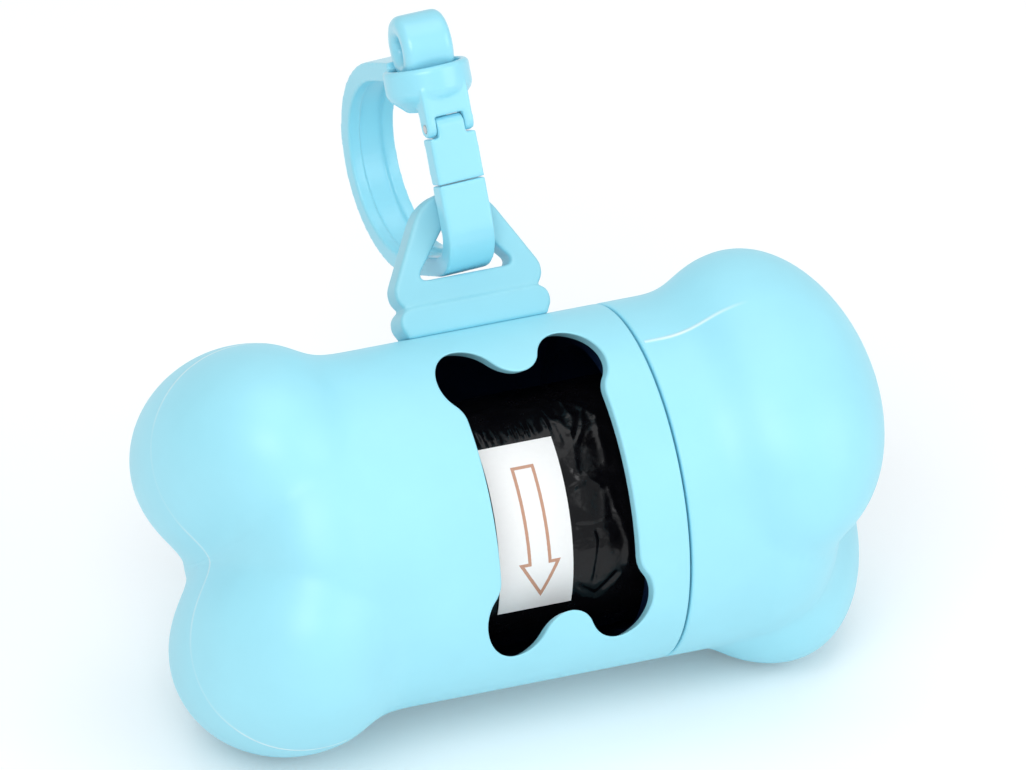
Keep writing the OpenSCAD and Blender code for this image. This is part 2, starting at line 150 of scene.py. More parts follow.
def shaped_grid(name, across, along, place):
    """A grid primitive whose points are moved to place(u, v), with touching edges merged."""
    select_only()
    bpy.ops.mesh.primitive_grid_add(x_subdivisions=across, y_subdivisions=along, size=1)
    obj = bpy.context.object
    obj.name = obj.data.name = name
    for vertex in obj.data.vertices:
        vertex.co = place(vertex.co.x + 0.5, vertex.co.y + 0.5)
    bpy.ops.object.mode_set(mode="EDIT")
    bpy.ops.mesh.select_all(action="SELECT")
    bpy.ops.mesh.remove_doubles(threshold=1e-6)
    bpy.ops.mesh.normals_make_consistent(inside=False)
    bpy.ops.object.mode_set(mode="OBJECT")
    return obj


def put(obj, matrix):
    """Moves a finished piece to its place and writes the place into its mesh."""
    select_only(obj)
    obj.matrix_world = matrix
    bpy.ops.object.transform_apply(location=True, rotation=True, scale=True)


def apply_modifier(obj, kind, **settings):
    """Adds a modifier with these settings and applies it."""
    select_only(obj)
    modifier = obj.modifiers.new(kind.title(), kind)
    for key, value in settings.items():
        setattr(modifier, key, value)
    bpy.ops.object.modifier_apply(modifier=modifier.name)


def smooth(obj, degrees, weighted=False):
    """Smooth shading with sharp edges above an angle, weighted by face size where asked."""
    select_only(obj)
    bpy.ops.object.shade_smooth_by_angle(angle=math.radians(degrees))
    if weighted:
        apply_modifier(obj, "WEIGHTED_NORMAL", keep_sharp=True, weight=90)


def plain_copy(node, name):
    """A merged copy of a solid, free of its body."""
    select_only()
    source = frame["nodes"][node]
    obj = source.copy()
    obj.data = source.data.copy()
    obj.parent = None
    obj.matrix_world = Matrix.Identity(4)
    obj.name = obj.data.name = name
    bpy.context.collection.objects.link(obj)
    select_only(obj)
    bpy.ops.object.mode_set(mode="EDIT")
    bpy.ops.mesh.select_all(action="SELECT")
    bpy.ops.mesh.remove_doubles(threshold=2e-6)
    bpy.ops.object.mode_set(mode="OBJECT")
    return obj


def moulded_copy(node, name, grain, passes, swell):
    """A copy of a solid with all its edges softened, as by a polished mould: remeshed at this grain,
    swollen against the shrinking, then smoothed in so many passes."""
    obj = plain_copy(node, name)
    apply_modifier(obj, "REMESH", mode="VOXEL", voxel_size=grain, adaptivity=0.0)
    apply_modifier(obj, "DISPLACE", strength=swell, mid_level=0.0)
    apply_modifier(obj, "SMOOTH", factor=0.5, iterations=passes)
    select_only(obj)
    bpy.ops.object.shade_smooth()
    return obj


def finish_piece(obj, material, body, slot, *nodes):
    """Gives a piece its material and body, and the solids that it stands for. Its slot is not used."""
    obj.data.materials.clear()
    obj.data.materials.append(material)
    if nodes:
        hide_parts(*nodes)
    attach(obj, body)


def dress(node, material):
    """Gives a solid that stays its material."""
    obj = frame["nodes"][node]
    for slot in obj.material_slots:
        slot.material = material
    if not obj.material_slots:
        obj.data.materials.append(material)


# ---- Shape of a bone end ----

def ray_exit(direction, centre, radii):
    """Distance from the origin to an ellipsoid's far side along a direction."""
    m = Vector(c / r for c, r in zip(centre, radii))
    v = Vector(d / r for d, r in zip(direction, radii))
    vm = v.dot(m)
    vv = v.dot(v)
    disc = vm * vm - vv * (m.dot(m) - 1)
    return max(0.0, (vm + math.sqrt(disc)) / vv) if disc > 0 else 0.0


# A bone end is a soft union, with BLEND as its exponent, of two lobes, a bar between them and the domed tube
LOBE_OFFSET = 10.3 * MM
LOBE_R = 10.2 * MM
LOBE_DEPTH = 16.5 * MM
LOBE_LIFT = 5.75 * MM
DIP = 4.2 * MM
BAR_GROW = 5 * MM
DOME = 9 * MM
BLEND = 6
TIP_SINK = 0.3 * MM


def skin(a, t, inset):
    """Distance of a bone end's skin at angle a from its axis and t round it."""
    s = sizes()
    d = Vector((math.cos(a), math.sin(a) * math.cos(t), math.sin(a) * math.sin(t)))
    lobe = (LOBE_R - inset, LOBE_DEPTH - inset, LOBE_R - inset)
    middle = (LOBE_R - DIP + MM - inset, LOBE_DEPTH - inset, LOBE_OFFSET + BAR_GROW - inset)
    up = ray_exit(d, (LOBE_LIFT, 0, LOBE_OFFSET), lobe)
    down = ray_exit(d, (LOBE_LIFT, 0, -LOBE_OFFSET), lobe)
    centre = ray_exit(d, (LOBE_LIFT - MM, 0, 0), middle)
    r, depth = s.tube_r - inset, DOME - inset
    if a < math.pi / 2:
        tube = 1 / math.hypot(math.cos(a) / depth, math.sin(a) / r)
    else:
        tube = r / math.sin(a)
    w = min(1, max(0, (a - math.pi / 2) / math.atan2(DOME, s.tube_r)))
    w = w * w * (3 - 2 * w)
    total = sum((x / MM) ** BLEND for x in (up, down, centre, tube))
    return total ** (1 / BLEND) * MM * (1 - w) + tube * w


def bone_end(name, mouth_x, bore_r, rows_out=110, rows_in=44):
    """Hollow bone end with its tip towards +X: outer skin, rounded mouth, then inner skin."""
    s = sizes()
    star_x = s.half_len - LOBE_R - TIP_SINK - LOBE_LIFT
    round_r = s.mouth_round
    rows_round = 5
    rows = rows_out + rows_round + rows_in + 1

    def on_skin(a, t, inset, bore):
        dist = skin(a, t, inset)
        across = dist * math.sin(a)
        if a > math.radians(89):
            across = max(across, bore)
        return Vector((star_x + dist * math.cos(a), across * math.cos(t), across * math.sin(t)))

    def place(u, v):
        t = 2 * math.pi * u
        row = round(v * rows)
        if row <= rows_out:
            last = math.pi / 2 + math.atan2(star_x - mouth_x - round_r, s.tube_r)
            return on_skin(last * row / rows_out, t, 0, 0)
        if row <= rows_out + rows_round:
            turn = math.pi / 2 * (row - rows_out) / rows_round
            across = s.tube_r - round_r + round_r * math.cos(turn)
            x = mouth_x + round_r * (1 - math.sin(turn))
            return Vector((x, across * math.cos(t), across * math.sin(t)))
        last = math.pi / 2 + math.atan2(star_x - mouth_x, s.tube_r - s.wall)
        return on_skin(last * (rows - row) / rows_in, t, s.wall, bore_r)

    return shaped_grid(name, s.sides, rows, place)


# ---- Shape of the window ----

OUTLINE_STEP = 0.25 * MM
OUTLINE_MERGE = 0.02 * MM


def window_path():
    """Closed outline of the bone-shaped window, as (x, z, outward x, outward z)."""
    s = sizes()
    lobe_x = s.window_w / 2 - s.window_lobe_r
    lobe_z = s.window_h / 2 - s.window_lobe_r
    fillet = s.window_fillet
    half_waist = s.window_waist / 2
    half_h = s.window_h / 2 - s.window_valley
    # Fillet between the waist's side and a lobe, and between the valley and a lobe
    side = Vector((half_waist + fillet, 0))
    side.y = lobe_z - math.sqrt((s.window_lobe_r + fillet) ** 2 - (side.x - lobe_x) ** 2)
    top = Vector((0, half_h + fillet))
    top.x = lobe_x - math.sqrt((s.window_lobe_r + fillet) ** 2 - (top.y - lobe_z) ** 2)
    lobe = Vector((lobe_x, lobe_z))
    quarter = []

    def sweep(centre, radius, a0, a1, sign):
        steps = max(3, round(abs(a1 - a0) * radius / OUTLINE_STEP))
        for i in range(steps + 1):
            a = a0 + (a1 - a0) * i / steps
            n = Vector((math.cos(a), math.sin(a)))
            quarter.append((*(centre + radius * n), *(sign * n)))

    straight = round(side.y / OUTLINE_STEP)
    quarter += [(half_waist, side.y * i / straight, 1.0, 0.0) for i in range(straight)]
    to_lobe = math.atan2(lobe.y - side.y, lobe.x - side.x)
    sweep(side, fillet, math.pi, to_lobe, -1)
    out = math.atan2(side.y - lobe.y, side.x - lobe.x)
    back = math.atan2(top.y - lobe.y, top.x - lobe.x)
    sweep(lobe, s.window_lobe_r, out, back, 1)
    from_lobe = math.atan2(lobe.y - top.y, lobe.x - top.x)
    sweep(top, fillet, from_lobe, -math.pi / 2, -1)
    ring = [p for p in quarter if p[0] >= 0]
    ring += [(-x, z, -nx, nz) for x, z, nx, nz in reversed(ring)]
    ring += [(-x, -z, -nx, -nz) for x, z, nx, nz in ring]
    clean = [ring[0]]
    for p in ring[1:]:
        if math.dist(p[:2], clean[-1][:2]) > OUTLINE_MERGE:
            clean.append(p)
    if math.dist(clean[0][:2], clean[-1][:2]) < OUTLINE_MERGE:
        clean.pop()
    return clean


def window_cutter():
    """Prism of the window whose mouth flares where it meets the tube, for a rounded rim."""
    s = sizes()
    path = window_path()
    count = len(path)
    steps = 5
    flare = [(s.tube_r + 2 * MM, s.rim_round + 0.02 * MM)]
    for i in range(steps + 1):
        a = math.pi / 2 * i / steps
        reach = s.tube_r + 0.01 * MM - s.rim_round * (1 - math.cos(a))
        flare.append((reach, s.rim_round * (1 - math.sin(a))))
    rows = len(flare) + 1

    def place(u, v):
        x, z, nx, nz = path[round(u * count) % count]
        row = round(v * rows)
        if row > len(flare):
            return Vector((x, -1 * MM, z))
        rho, grow = flare[max(0, row - 1)]
        px, pz = x + grow * nx, z + grow * nz
        return Vector((px, -s.tube_r - 4 * MM if row == 0 else -math.sqrt(rho ** 2 - pz ** 2), pz))

    cutter = shaped_grid("window_cutter", count, rows, place)
    bpy.ops.object.mode_set(mode="EDIT")
    bpy.ops.mesh.select_all(action="DESELECT")
    bpy.ops.mesh.select_mode(type="EDGE")
    bpy.ops.mesh.select_non_manifold(extend=False, use_wire=False, use_boundary=True,
                                     use_multi_face=False, use_non_contiguous=False, use_verts=False)
    bpy.ops.mesh.edge_face_add()
    bpy.ops.mesh.select_all(action="SELECT")
    bpy.ops.mesh.normals_make_consistent(inside=False)
    bpy.ops.object.mode_set(mode="OBJECT")
    return cutter


# ---- Node groups ----

def new_group(name, inputs, outputs):
    """A shader node group with float, vector or colour sockets."""
    group = bpy.data.node_groups.new(name, "ShaderNodeTree")
    for label, kind, default in inputs:
        socket = group.interface.new_socket(name=label, in_out="INPUT", socket_type=kind)
        if default is not None:
            socket.default_value = default
    for label, kind in outputs:
        group.interface.new_socket(name=label, in_out="OUTPUT", socket_type=kind)
    return group, group.nodes.new("NodeGroupInput"), group.nodes.new("NodeGroupOutput")


def math_node(tree, operation, *values, clamp=False):
    """A Math node fed with numbers or sockets. Returns its output socket."""
    node = tree.nodes.new("ShaderNodeMath")
    node.operation = operation
    node.use_clamp = clamp
    for i, value in enumerate(values):
        if isinstance(value, (int, float)):
            node.inputs[i].default_value = value
        else:
            tree.links.new(value, node.inputs[i])
    return node.outputs[0]


def map_range(tree, value, low, high, to_low=0.0, to_high=1.0, smooth_step=False):
    """A Map Range node. Returns its output socket."""
    node = tree.nodes.new("ShaderNodeMapRange")
    node.interpolation_type = "SMOOTHSTEP" if smooth_step else "LINEAR"
    tree.links.new(value, node.inputs["Value"])
    for label, number in (("From Min", low), ("From Max", high), ("To Min", to_low), ("To Max", to_high)):
        if isinstance(number, (int, float)):
            node.inputs[label].default_value = number
        else:
            tree.links.new(number, node.inputs[label])
    return node.outputs["Result"]


def noise_node(tree, vector, scale, detail=3.0, roughness=0.5):
    """A Noise Texture node. Returns its Fac socket."""
    node = tree.nodes.new("ShaderNodeTexNoise")
    node.inputs["Detail"].default_value = detail
    node.inputs["Roughness"].default_value = roughness
    tree.links.new(vector, node.inputs["Vector"])
    if isinstance(scale, (int, float)):
        node.inputs["Scale"].default_value = scale
    else:
        tree.links.new(scale, node.inputs["Scale"])
    return node.outputs[0]


def moulding_group():
    """Faint waviness, flow mottle and specks of moulded plastic."""
    if "moulded_surface" in bpy.data.node_groups:
        return bpy.data.node_groups["moulded_surface"]
    group, entry, leave = new_group("moulded_surface", [
        ("Vector", "NodeSocketVector", None), ("Scale", "NodeSocketFloat", 1.0)],
        [("Height", "NodeSocketFloat"), ("Mottle", "NodeSocketFloat"), ("Scuff", "NodeSocketFloat")])
    vector, scale = entry.outputs["Vector"], entry.outputs["Scale"]
    wave = noise_node(group, vector, math_node(group, "MULTIPLY", scale, 220.0), 2.0)
    grain = noise_node(group, vector, math_node(group, "MULTIPLY", scale, 5200.0), 1.0)
    height = math_node(group, "ADD", math_node(group, "MULTIPLY", wave, 0.8),
                       math_node(group, "MULTIPLY", grain, 0.06))
    mottle = noise_node(group, vector, math_node(group, "MULTIPLY", scale, 90.0), 4.0, 0.6)
    scuffs = noise_node(group, vector, math_node(group, "MULTIPLY", scale, 1500.0), 6.0, 0.75)
    group.links.new(height, leave.inputs["Height"])
    group.links.new(map_range(group, mottle, 0.3, 0.7), leave.inputs["Mottle"])
    group.links.new(map_range(group, scuffs, 0.58, 0.75), leave.inputs["Scuff"])
    return group


def parting_group():
    """Mask of the fine raised line where a mould's halves meet, on the plane Y = 0, from Start X to End X. It
    raises the ridge and carries its painted highlight.
    """
    if "parting_line" in bpy.data.node_groups:
        return bpy.data.node_groups["parting_line"]
    group, entry, leave = new_group("parting_line", [
        ("Vector", "NodeSocketVector", None), ("Half width", "NodeSocketFloat", 0.00015),
        ("Start X", "NodeSocketFloat", 0.0), ("End X", "NodeSocketFloat", 1.0)],
        [("Mask", "NodeSocketFloat")])
    split = group.nodes.new("ShaderNodeSeparateXYZ")
    group.links.new(entry.outputs["Vector"], split.inputs[0])
    wobble = noise_node(group, entry.outputs["Vector"], 160.0, 2.0)
    offset = math_node(group, "MULTIPLY", math_node(group, "SUBTRACT", wobble, 0.5), 0.0003)
    away = math_node(group, "ABSOLUTE", math_node(group, "ADD", split.outputs["Y"], offset))
    line = map_range(group, away, 0.0, entry.outputs["Half width"], 1.0, 0.0, smooth_step=True)
    x = math_node(group, "ABSOLUTE", split.outputs["X"])
    started = math_node(group, "GREATER_THAN", x, entry.outputs["Start X"])
    fade_from = math_node(group, "SUBTRACT", entry.outputs["End X"], 0.005)
    fading = map_range(group, x, fade_from, entry.outputs["End X"], 1.0, 0.0)
    along = math_node(group, "MULTIPLY", started, fading)
    # The line comes and goes in patches, both its ridge and its painted highlight
    patchy = map_range(group, noise_node(group, entry.outputs["Vector"], 120.0, 2.0), 0.35, 0.6, 0.35, 1.0)
    shown = math_node(group, "MULTIPLY", math_node(group, "MULTIPLY", line, along), patchy)
    group.links.new(shown, leave.inputs["Mask"])
    return group


def painted_shade_group():
    """Mask of what lies within a radius of the tube's axis, between the bone ends, where painted deep shade
    goes.
    """
    if "painted_shade_region" in bpy.data.node_groups:
        return bpy.data.node_groups["painted_shade_region"]
    group, entry, leave = new_group("painted_shade_region", [
        ("Vector", "NodeSocketVector", None), ("Radius", "NodeSocketFloat", 0.0175),
        ("Reach", "NodeSocketFloat", 0.026)],
        [("Mask", "NodeSocketFloat")])
    split = group.nodes.new("ShaderNodeSeparateXYZ")
    group.links.new(entry.outputs["Vector"], split.inputs[0])
    dy = math_node(group, "SUBTRACT", split.outputs["Y"], TUBE_AXIS.y)
    dz = math_node(group, "SUBTRACT", split.outputs["Z"], TUBE_AXIS.z)
    square = math_node(group, "ADD", math_node(group, "MULTIPLY", dy, dy),
                       math_node(group, "MULTIPLY", dz, dz))
    within = math_node(group, "LESS_THAN", math_node(group, "SQRT", square), entry.outputs["Radius"])
    x = math_node(group, "ABSOLUTE", split.outputs["X"])
    near = math_node(group, "LESS_THAN", x, entry.outputs["Reach"])
    group.links.new(math_node(group, "MULTIPLY", within, near), leave.inputs["Mask"])
    return group


def film_group():
    """Creases and soft folds of thin rolled film."""
    if "film_folds" in bpy.data.node_groups:
        return bpy.data.node_groups["film_folds"]
    group, entry, leave = new_group("film_folds", [
        ("Vector", "NodeSocketVector", None), ("Scale", "NodeSocketFloat", 1.0)],
        [("Height", "NodeSocketFloat"), ("Haze", "NodeSocketFloat")])
    vector, scale = entry.outputs["Vector"], entry.outputs["Scale"]
    broad = noise_node(group, vector, math_node(group, "MULTIPLY", scale, 260.0), 3.0, 0.6)
    from_middle = math_node(group, "ABSOLUTE", math_node(group, "SUBTRACT", broad, 0.5))
    ridge = math_node(group, "SUBTRACT", 1.0, math_node(group, "MULTIPLY", from_middle, 6.0), clamp=True)
    fine = noise_node(group, vector, math_node(group, "MULTIPLY", scale, 900.0), 2.0, 0.5)
    height = math_node(group, "ADD", math_node(group, "MULTIPLY", ridge, 0.8),
                       math_node(group, "MULTIPLY", fine, 0.08))
    haze = noise_node(group, vector, math_node(group, "MULTIPLY", scale, 500.0), 4.0, 0.6)
    group.links.new(height, leave.inputs["Height"])
    group.links.new(haze, leave.inputs["Haze"])
    return group


def arrow_group():
    """Mask of a plain outlined arrow that points along -V, in millimetres."""
    if "outlined_arrow" in bpy.data.node_groups:
        return bpy.data.node_groups["outlined_arrow"]
    group, entry, leave = new_group("outlined_arrow", [
        ("U", "NodeSocketFloat", 0.0), ("V", "NodeSocketFloat", 0.0), ("Line", "NodeSocketFloat", 0.3)],
        [("Mask", "NodeSocketFloat")])
    across = math_node(group, "ABSOLUTE", entry.outputs["U"])
    along = entry.outputs["V"]
    line = entry.outputs["Line"]
    shaft_half, shaft_top = 1.3, 6.0
    head_half, head_top, tip = 2.35, -4.4, -8.6
    overlap, slant = 0.6, 1.16

    def inside(inset):
        width = math_node(group, "SUBTRACT", shaft_half, inset)
        end = math_node(group, "SUBTRACT", shaft_top, inset)
        shaft = math_node(group, "MULTIPLY", math_node(group, "LESS_THAN", across, width),
                          math_node(group, "LESS_THAN", along, end))
        below = math_node(group, "GREATER_THAN", along, head_top - overlap)
        shaft = math_node(group, "MULTIPLY", shaft, below)
        slope = head_half / (head_top - tip)
        edge = math_node(group, "MULTIPLY", math_node(group, "SUBTRACT", along, tip), slope)
        edge = math_node(group, "SUBTRACT", edge, math_node(group, "MULTIPLY", inset, slant))
        head = math_node(group, "MULTIPLY", math_node(group, "LESS_THAN", across, edge),
                         math_node(group, "LESS_THAN", along, math_node(group, "SUBTRACT", head_top, inset)))
        return math_node(group, "MAXIMUM", shaft, head)

    zero = math_node(group, "MULTIPLY", line, 0.0)
    mask = math_node(group, "SUBTRACT", inside(zero), inside(line), clamp=True)
    group.links.new(mask, leave.inputs["Mask"])
    return group


# ---- Materials ----

# Lighter colour of the parting line: a painted highlight on a real raised ridge
PARTING_PAINTED_HIGHLIGHT = (0.80, 0.96, 1.0)
PARTING_HALF_W = 0.36 * MM
# Near-black colour of the painted deep shade inside the tube, the cap and the neck
PAINTED_INNER_SHADE = (0.004, 0.012, 0.040)
MOTTLE = 0.03
# Factor that darkens the loop's copy of the shell colour, as painted shade
LOOP_PAINTED_SHADE = 0.86
# Millimetres that a texture coordinate of 1 spans on the label, and the arrow's middle and line in mm
LABEL_U, LABEL_V = 10.0, 20.0
ARROW_U, ARROW_V, ARROW_LINE = 4.35, 10.1, 0.36


def new_material(name, colour, roughness):
    """A material with a Principled BSDF, and a socket of Object coordinates."""
    material = bpy.data.materials.new(name)
    material.use_nodes = True
    material.diffuse_color = (*colour, 1)
    tree = material.node_tree
    shader = tree.nodes["Principled BSDF"]
    shader.inputs["Base Color"].default_value = (*colour, 1)
    shader.inputs["Roughness"].default_value = roughness
    coords = tree.nodes.new("ShaderNodeTexCoord")
    return material, tree, shader, coords.outputs["Object"]


def place_group(tree, group, **values):
    """A group node with its inputs set or linked."""
    node = tree.nodes.new("ShaderNodeGroup")
    node.node_tree = group
    for label, value in values.items():
        socket = node.inputs[label.replace("_", " ")]
        if isinstance(value, (int, float)):
            socket.default_value = value
        else:
            tree.links.new(value, socket)
    return node


def mix_colour(tree, factor, first, second):
    """A colour mix. Returns its output socket."""
    node = tree.nodes.new("ShaderNodeMix")
    node.data_type = "RGBA"
    for socket, value in ((node.inputs[0], factor), (node.inputs[6], first), (node.inputs[7], second)):
        if isinstance(value, (tuple, int, float)):
            socket.default_value = value
        else:
            tree.links.new(value, socket)
    return node.outputs[2]


def bump(tree, shader, height, distance):
    """A Bump node from a height socket to the shader's normal."""
    node = tree.nodes.new("ShaderNodeBump")
    node.inputs["Strength"].default_value = 1.0
    node.inputs["Distance"].default_value = distance
    tree.links.new(height, node.inputs["Height"])
    tree.links.new(node.outputs["Normal"], shader.inputs["Normal"])


def shade(colour, factor):
    """A colour scaled in brightness, with alpha."""
    return tuple(c * factor for c in colour) + (1.0,)


def plastic(name, colour, roughness=0.42, turn=None, line_x=None, line_y=0.0, coat=0.0, painted_shade=()):
    """Moulded plastic. A turn and the line's X range give it a parting line: a raised ridge whose lighter
    colour is a painted highlight.
    The last argument lists the radii and reaches within which its colour is darkened to painted deep shade."""
    if name in bpy.data.materials:
        return bpy.data.materials[name]
    material, tree, shader, coords = new_material(name, colour, roughness)
    surface = place_group(tree, moulding_group(), Vector=coords, Scale=1.0)
    base = mix_colour(tree, surface.outputs["Mottle"], shade(colour, 1 - MOTTLE),
                      shade(colour, 1 + MOTTLE / 2))
    height = surface.outputs["Height"]
    if turn is not None:
        centring = tree.nodes.new("ShaderNodeMapping")
        back = Matrix.Rotation(turn, 3, "X")
        middle = back @ Vector((0, TUBE_AXIS.y, TUBE_AXIS.z)) + Vector((0, line_y, 0))
        centring.inputs["Rotation"].default_value = (turn, 0, 0)
        centring.inputs["Location"].default_value = -middle
        tree.links.new(coords, centring.inputs["Vector"])
        line = place_group(tree, parting_group(), Vector=centring.outputs[0], Half_width=PARTING_HALF_W,
                           Start_X=line_x[0], End_X=line_x[1])
        # Painted highlight along the parting line
        base = mix_colour(tree, line.outputs["Mask"], base, (*PARTING_PAINTED_HIGHLIGHT, 1.0))
        height = math_node(tree, "ADD", height, math_node(tree, "MULTIPLY", line.outputs["Mask"], 4.0))
    # Painted deep shade: within these radii and reaches the colour goes near black
    for radius, reach in painted_shade:
        inside = place_group(tree, painted_shade_group(), Vector=coords, Radius=radius, Reach=reach)
        base = mix_colour(tree, inside.outputs["Mask"], base, (*PAINTED_INNER_SHADE, 1.0))
    tree.links.new(base, shader.inputs["Base Color"])
    rough = math_node(tree, "ADD", roughness, math_node(tree, "MULTIPLY", surface.outputs["Scuff"], 0.08))
    tree.links.new(rough, shader.inputs["Roughness"])
    shader.inputs["Coat Weight"].default_value = coat
    shader.inputs["Coat Roughness"].default_value = 0.15
    bump(tree, shader, height, 0.00002)
    return material


def clip_material():
    """Smooth plastic of the clip and its eye."""
    return plastic("clip_finish", tuple(colours().clip), 0.28, coat=0.2)


def film_material():
    """Thin glossy black film."""
    if "film_finish" in bpy.data.materials:
        return bpy.data.materials["film_finish"]
    colour = tuple(colours().film)
    material, tree, shader, coords = new_material("film_finish", colour, 0.22)
    folds = place_group(tree, film_group(), Vector=coords, Scale=1.0)
    base = mix_colour(tree, folds.outputs["Haze"], shade(colour, 0.5), shade(colour, 1.5))
    tree.links.new(base, shader.inputs["Base Color"])
    tree.links.new(map_range(tree, folds.outputs["Haze"], 0.3, 0.7, 0.14, 0.3), shader.inputs["Roughness"])
    shader.inputs["Specular IOR Level"].default_value = 0.28
    bump(tree, shader, folds.outputs["Height"], 0.00004)
    return material


def paper_material():
    """White label paper with a plain printed arrow."""
    if "paper_finish" in bpy.data.materials:
        return bpy.data.materials["paper_finish"]
    colour = tuple(colours().paper)
    material, tree, shader, coords = new_material("paper_finish", colour, 0.5)
    uv = tree.nodes.new("ShaderNodeUVMap")
    uv.uv_map = "label_mm"
    split = tree.nodes.new("ShaderNodeSeparateXYZ")
    tree.links.new(uv.outputs[0], split.inputs[0])
    across = math_node(tree, "SUBTRACT", math_node(tree, "MULTIPLY", split.outputs["X"], LABEL_U), ARROW_U)
    along = math_node(tree, "SUBTRACT", math_node(tree, "MULTIPLY", split.outputs["Y"], LABEL_V), ARROW_V)
    wobble = math_node(tree, "SUBTRACT", noise_node(tree, coords, 2600.0, 2.0), 0.5)
    across = math_node(tree, "ADD", across, math_node(tree, "MULTIPLY", wobble, 0.05))
    arrow = place_group(tree, arrow_group(), U=across, V=along, Line=ARROW_LINE)
    fibre = noise_node(tree, coords, 1800.0, 4.0, 0.6)
    sheet = mix_colour(tree, fibre, shade(colour, 1.0), shade(colour, 1.06))
    ink = (*colours().ink, 1)
    printed = math_node(tree, "MULTIPLY", arrow.outputs["Mask"], 0.85)
    tree.links.new(mix_colour(tree, printed, sheet, ink), shader.inputs["Base Color"])
    bump(tree, shader, fibre, 0.00001)
    return material


def card_material():
    """Wound brown board."""
    if "card_finish" in bpy.data.materials:
        return bpy.data.materials["card_finish"]
    colour = tuple(colours().card)
    material, tree, shader, coords = new_material("card_finish", colour, 0.8)
    fibre = noise_node(tree, coords, 900.0, 6.0, 0.7)
    base = mix_colour(tree, fibre, shade(colour, 0.75), shade(colour, 1.2))
    tree.links.new(base, shader.inputs["Base Color"])
    bump(tree, shader, fibre, 0.00004)
    return material


def steel_material():
    """Bright drawn wire."""
    if "drawn_steel" in bpy.data.materials:
        return bpy.data.materials["drawn_steel"]
    colour = tuple(colours().steel)
    material, tree, shader, coords = new_material("drawn_steel", colour, 0.28)
    shader.inputs["Metallic"].default_value = 1.0
    streaks = noise_node(tree, coords, 6000.0, 3.0)
    tree.links.new(map_range(tree, streaks, 0.3, 0.7, 0.2, 0.38), shader.inputs["Roughness"])
    base = mix_colour(tree, streaks, shade(colour, 0.9), shade(colour, 1.08))
    tree.links.new(base, shader.inputs["Base Color"])
    bump(tree, shader, streaks, 0.000004)
    return material


# ---- Operators: pieces ----

# X ranges of the parting lines, the first one's shift and the second one's turn from the lobes' plane
BODY_LINE_X = (24 * MM, 40 * MM)
BODY_LINE_Y = -4 * MM
CAP_LINE_X = (14 * MM, 25.5 * MM)
CAP_LINE_TURN = math.radians(12)
# How far from the middle the painted deep shade inside each piece reaches
BODY_PAINTED_SHADE_X = 24 * MM
CAP_PAINTED_SHADE_X = 21 * MM
NECK_PAINTED_SHADE_X = 26 * MM


class DISPENSER_OT_body(Operator):
    """Make the tube with its lobed end and bone-shaped window"""
    bl_idname = "dispenser.body"
    bl_label = "Body"

    def execute(self, context):
        s = sizes()
        obj = bone_end("body_skin", -s.seam_x, 0.0)
        put(obj, Matrix.Rotation(math.pi, 4, "Z"))
        cutter = window_cutter()
        apply_modifier(obj, "BOOLEAN", operation="DIFFERENCE", object=cutter, solver="EXACT")
        bpy.data.objects.remove(cutter)
        put(obj, standing())
        smooth(obj, 30, weighted=True)
        # Painted highlight on the parting line, and painted deep shade inside the tube
        material = plastic("body_finish", tuple(colours().shell), turn=s.stand_roll,
                           line_x=BODY_LINE_X, line_y=BODY_LINE_Y,
                           painted_shade=((s.tube_r - 0.9 * s.wall, BODY_PAINTED_SHADE_X),))
        finish_piece(obj, material, "body", "shell_plastic", "body_shell")
        return {"FINISHED"}


class DISPENSER_OT_cap(Operator):
    """Make the lobed end cap"""
    bl_idname = "dispenser.cap"
    bl_label = "End cap"

    def execute(self, context):
        s = sizes()
        obj = bone_end("cap_skin", s.seam_x + s.seam_gap, s.cap_bore_r)
        put(obj, standing() @ Matrix.Rotation(s.cap_turn, 4, "X"))
        smooth(obj, 30)
        # Painted highlight on the parting line, and painted deep shade inside the cap's bore
        material = plastic("cap_finish", tuple(colours().shell),
                           turn=s.stand_roll - s.cap_turn + CAP_LINE_TURN, line_x=CAP_LINE_X,
                           painted_shade=((s.cap_bore_r + 0.05 * MM, CAP_PAINTED_SHADE_X),))
        finish_piece(obj, material, "cap", "shell_plastic", "end_cap")
        return {"FINISHED"}


class DISPENSER_OT_strap_loop(Operator):
    """Make the triangular strap loop on its foot"""
    bl_idname = "dispenser.strap_loop"
    bl_label = "Strap loop"

    def execute(self, context):
        obj = moulded_copy("strap_loop", "loop_skin", grain=0.15 * MM, passes=40, swell=0.03 * MM)
        # The loop's colour is the shell colour darkened as painted shade
        material = plastic("loop_painted_shade", tuple(LOOP_PAINTED_SHADE * c for c in colours().shell))
        finish_piece(obj, material, "body", "shell_plastic", "strap_loop")
        return {"FINISHED"}


class DISPENSER_OT_inner_parts(Operator):
    """Finish the threaded neck, the cap's sleeve, the core and the inner bags"""
    bl_idname = "dispenser.inner_parts"
    bl_label = "Inner parts"

    def execute(self, context):
        s = sizes()
        # The neck's colour is darkened to painted deep shade inside the tube and in its bore
        bore = (s.neck_bore_r + 0.15 * MM, NECK_PAINTED_SHADE_X)
        dress("neck_insert", plastic("neck_finish", tuple(colours().shell), 0.38,
                                     painted_shade=((s.tube_r, s.seam_x), bore)))
        dress("cap_sleeve", plastic("sleeve_finish", tuple(colours().shell), 0.38))
        dress("roll_core", card_material())
        dress("bag_roll", film_material())
        return {"FINISHED"}


